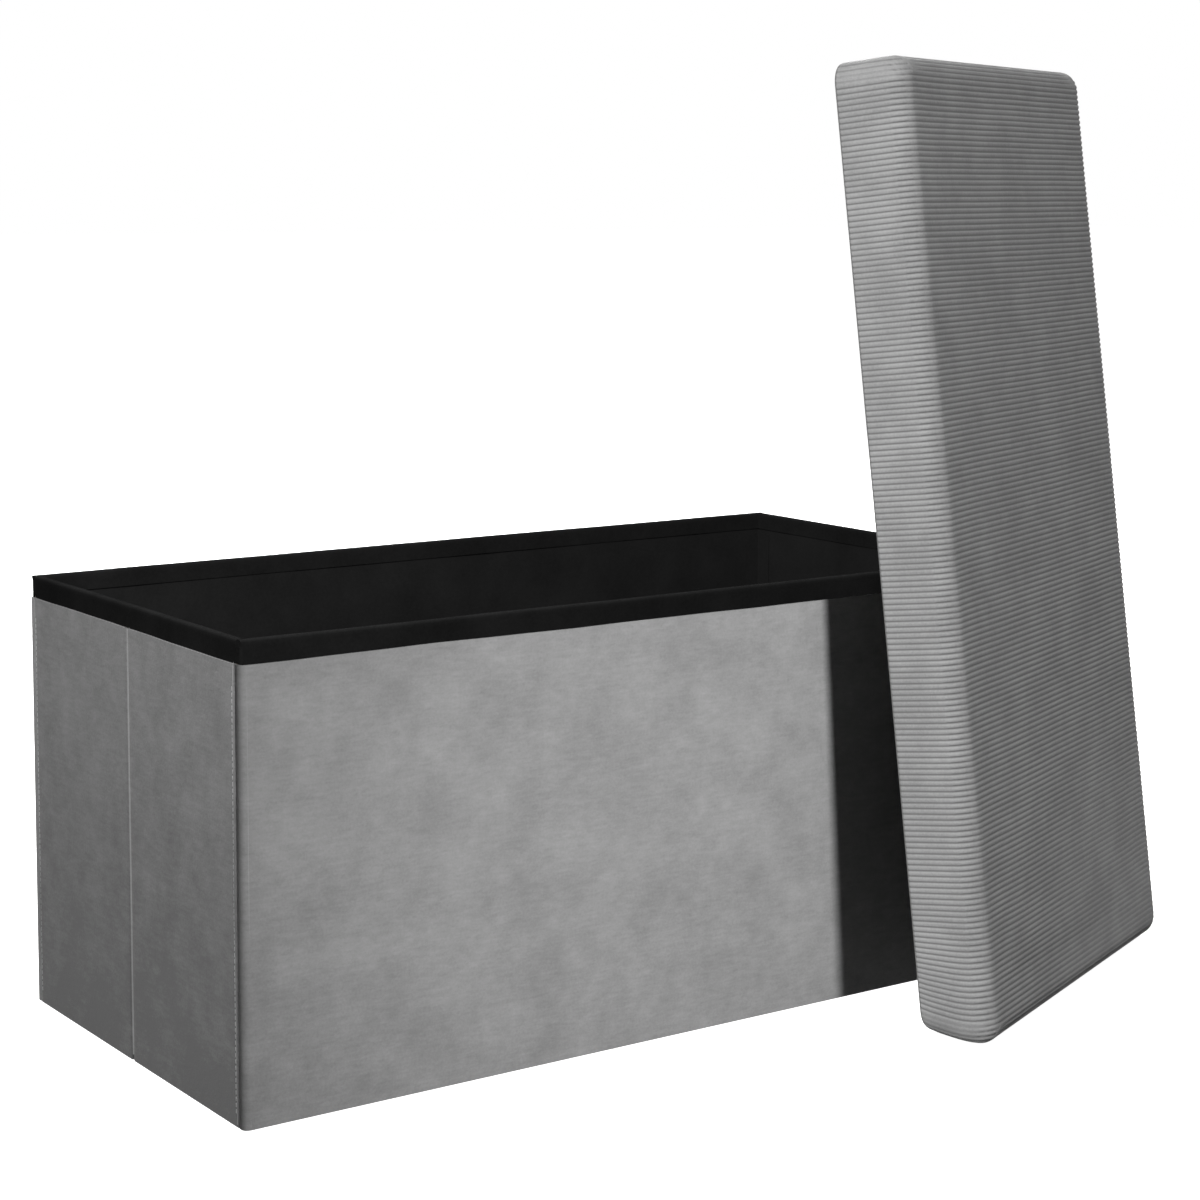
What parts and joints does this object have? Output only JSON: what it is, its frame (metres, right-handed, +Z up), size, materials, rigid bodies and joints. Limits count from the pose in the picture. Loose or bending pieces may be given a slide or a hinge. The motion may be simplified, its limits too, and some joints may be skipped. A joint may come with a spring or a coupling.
{
  "type": "storage bench",
  "caption": "Folding storage bench: a velvet-covered box with a bound rim and fold-in ends, and a loose corduroy lid cushion standing against its corner.",
  "frame": {"origin": "middle of the box's footprint on the floor", "axes": "+X along the box to its right end, +Y to its rear wall, +Z up; the long front wall faces -Y and the lid stands at the front right corner"},
  "size_m": [0.904, 0.5484, 0.7761],
  "materials": {
    "velvet": "soft short-pile velvet",
    "corduroy": "fine ribbed corduroy",
    "black_non_woven": "matt non-woven",
    "board": "raw fibreboard",
    "foam": "open-cell foam"
  },
  "bodies": {
    "carcass": {"base_board": "board", "base_lining": "black_non_woven", "rear_board": "board", "rear_velvet": "velvet", "rear_lining": "black_non_woven", "rear_binding": "black_non_woven", "rear_left_tape": "black_non_woven", "rear_right_tape": "black_non_woven"},
    "left_rear_half": {"left_rear_board": "board", "left_rear_velvet": "velvet", "left_rear_lining": "black_non_woven", "left_rear_binding": "black_non_woven", "left_fold_strip": "velvet"},
    "left_front_half": {"left_front_board": "board", "left_front_velvet": "velvet", "left_front_lining": "black_non_woven", "left_front_binding": "black_non_woven"},
    "right_rear_half": {"right_rear_board": "board", "right_rear_velvet": "velvet", "right_rear_lining": "black_non_woven", "right_rear_binding": "black_non_woven", "right_fold_strip": "velvet"},
    "right_front_half": {"right_front_board": "board", "right_front_velvet": "velvet", "right_front_lining": "black_non_woven", "right_front_binding": "black_non_woven"},
    "front_wall": {"front_board": "board", "front_velvet": "velvet", "front_lining": "black_non_woven", "front_binding": "black_non_woven", "front_left_tape": "black_non_woven", "front_right_tape": "black_non_woven"},
    "lid": {"lid_board": "board", "lid_foam": "foam", "lid_corduroy_cover": "corduroy", "lid_recess_lining": "black_non_woven", "lid_foot_skirt": "board", "lid_head_skirt": "board", "lid_left_skirt": "board", "lid_right_skirt": "board"}
  },
  "joints": [
    {"name": "left_rear_hinge", "type": "hinge", "parent": "carcass", "child": "left_rear_half", "pos_m": [-0.3717, 0.1783, 0], "axis": [0, 0, 1], "range_deg": [0, 90], "deforming": ["rear_left_tape", "rear_right_tape"]},
    {"name": "left_fold", "type": "hinge", "parent": "left_rear_half", "child": "left_front_half", "pos_m": [-0.3804, 0, 0], "axis": [0, 0, 1], "range_deg": [-180, 0], "deforming": ["left_fold_strip"]},
    {"name": "left_front_hinge", "type": "hinge", "parent": "left_front_half", "child": "front_wall", "pos_m": [-0.3717, -0.1783, 0], "axis": [0, 0, 1], "range_deg": [0, 90], "deforming": ["front_left_tape", "front_right_tape"]},
    {"name": "right_rear_hinge", "type": "hinge", "parent": "carcass", "child": "right_rear_half", "pos_m": [0.3717, 0.1783, 0], "axis": [0, 0, 1], "range_deg": [-90, 0]},
    {"name": "right_fold", "type": "hinge", "parent": "right_rear_half", "child": "right_front_half", "pos_m": [0.3804, 0, 0], "axis": [0, 0, 1], "range_deg": [0, 180], "deforming": ["right_fold_strip"]},
    {"name": "lid_lift", "type": "slide", "parent": "carcass", "child": "lid", "axis": [0.2865, -0.6465, 0.7071], "range_m": [0, 0.4]}
  ],
  "couplings": [
    {"joint": "left_fold", "follows": "left_rear_hinge", "ratio": -2},
    {"joint": "left_front_hinge", "follows": "left_rear_hinge", "ratio": 1},
    {"joint": "right_rear_hinge", "follows": "left_rear_hinge", "ratio": -1},
    {"joint": "right_fold", "follows": "left_rear_hinge", "ratio": 2}
  ]
}
